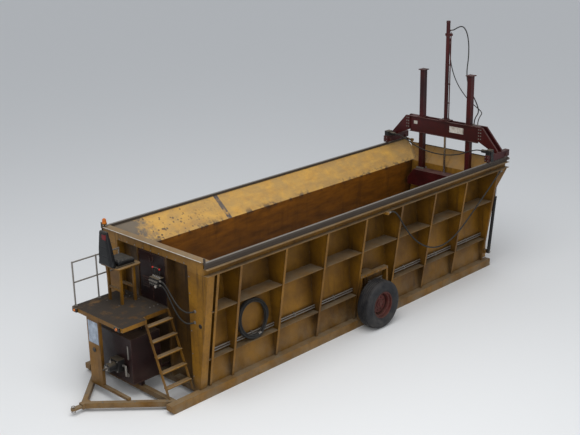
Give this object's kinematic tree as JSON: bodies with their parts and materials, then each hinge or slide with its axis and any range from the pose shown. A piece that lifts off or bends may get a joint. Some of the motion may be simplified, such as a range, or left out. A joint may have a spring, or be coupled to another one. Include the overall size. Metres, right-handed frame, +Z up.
{
  "type": "cotton module builder",
  "caption": "Towed open-bottom pressing box for cotton modules, on skids and two wheels, with a travelling hydraulic tramper, operator's deck and lift-up tailgate",
  "frame": {"origin": "on the ground, in the middle of the machine's length and width", "axes": "+X towards the towing end, +Y to the machine's left side, +Z up"},
  "size_m": [12.9388, 3.84, 6.38],
  "materials": {
    "ochre_paint": "worn ochre paint, dusty and rust-spotted",
    "tan_paint": "faded ochre paint under field dust",
    "red_paint": "dark oxide red, dull, worn at the edges",
    "worn_steel": "bare steel polished by rollers, dull grey",
    "chrome_rod": "polished cylinder rod",
    "black_paint": "black paint, dusty",
    "hose_rubber": "black hydraulic hose, dull",
    "tyre_rubber": "weathered black tyre",
    "rim_paint": "dull red-brown primer",
    "seat_cover": "black coated cover with a plain red patch"
  },
  "bodies": {
    "chassis": {"skids": "tan_paint", "side_wall_left": "ochre_paint", "side_wall_right": "ochre_paint", "ribs": "ochre_paint", "shelves": "ochre_paint", "top_rails": "tan_paint", "tracks": "worn_steel", "front_wall": "ochre_paint", "front_columns": "ochre_paint", "front_band": "tan_paint", "rear_posts": "ochre_paint", "cross_member": "ochre_paint", "tongue_left": "ochre_paint", "tongue_right": "ochre_paint", "hitch": "ochre_paint", "deck": "ochre_paint", "deck_post": "ochre_paint", "ladder": "ochre_paint", "handrail": "worn_steel", "seat_pedestal": "ochre_paint", "seat": "seat_cover", "levers": "black_paint", "reservoir": "red_paint", "pump": "black_paint", "valve_box": "red_paint", "front_hoses": "hose_rubber", "side_pipes": "worn_steel", "wheel_frames": "ochre_paint", "hose_coil": "hose_rubber", "side_hose": "hose_rubber"},
    "wheel_left": {"tyre_left": "tyre_rubber", "rim_left": "rim_paint"},
    "wheel_right": {"tyre_right": "tyre_rubber", "rim_right": "rim_paint"},
    "carriage": {"bridge": "red_paint", "end_frame_left": "red_paint", "end_frame_right": "red_paint", "rollers": "worn_steel", "drive_motors": "black_paint", "mast_barrel": "red_paint", "mast_hose": "hose_rubber", "return_hose": "hose_rubber", "drive_hose": "hose_rubber"},
    "tramper": {"guide_posts": "red_paint", "foot": "red_paint", "ram_rod": "chrome_rod"},
    "gate": {"tailgate": "ochre_paint"},
    "gate_barrel_left": {"gate_barrel_left": "black_paint"},
    "gate_barrel_right": {"gate_barrel_right": "black_paint"},
    "gate_rod_left": {"gate_rod_left": "chrome_rod"},
    "gate_rod_right": {"gate_rod_right": "chrome_rod"}
  },
  "joints": [
    {"name": "wheel_left_spin", "type": "hinge", "parent": "chassis", "child": "wheel_left", "pos_m": [-0.9675, 1.72, 0.57], "axis": [0, 1, 0], "continuous": true},
    {"name": "wheel_right_spin", "type": "hinge", "parent": "chassis", "child": "wheel_right", "pos_m": [-0.9675, -1.72, 0.57], "axis": [0, 1, 0], "continuous": true},
    {"name": "carriage_travel", "type": "slide", "parent": "chassis", "child": "carriage", "axis": [1, 0, 0], "range_m": [0, 9.2]},
    {"name": "tramper_stroke", "type": "slide", "parent": "carriage", "child": "tramper", "axis": [0, 0, 1], "range_m": [-1.25, 0.95]},
    {"name": "tailgate_lift", "type": "hinge", "parent": "chassis", "child": "gate", "pos_m": [-6.2625, 0, 2.93], "axis": [0, 1, 0], "range_deg": [0, 80]},
    {"name": "gate_swing_left", "type": "hinge", "parent": "chassis", "child": "gate_barrel_left", "pos_m": [-5.7875, 1.5, 0.45], "axis": [0, 1, 0], "range_deg": [-19, 0]},
    {"name": "gate_stroke_left", "type": "slide", "parent": "gate_barrel_left", "child": "gate_rod_left", "axis": [-0.1392, 0, 0.9903], "range_m": [0, 0.545]},
    {"name": "gate_swing_right", "type": "hinge", "parent": "chassis", "child": "gate_barrel_right", "pos_m": [-5.7875, -1.5, 0.45], "axis": [0, 1, 0], "range_deg": [-19, 0]},
    {"name": "gate_stroke_right", "type": "slide", "parent": "gate_barrel_right", "child": "gate_rod_right", "axis": [-0.1392, 0, 0.9903], "range_m": [0, 0.545]}
  ],
  "couplings": [
    {"joint": "gate_swing_left", "follows": "tailgate_lift", "ratio": -0.22638},
    {"joint": "gate_stroke_left", "follows": "tailgate_lift", "m_per_rad": 0.38391},
    {"joint": "gate_swing_right", "follows": "tailgate_lift", "ratio": -0.22638},
    {"joint": "gate_stroke_right", "follows": "tailgate_lift", "m_per_rad": 0.38391}
  ]
}
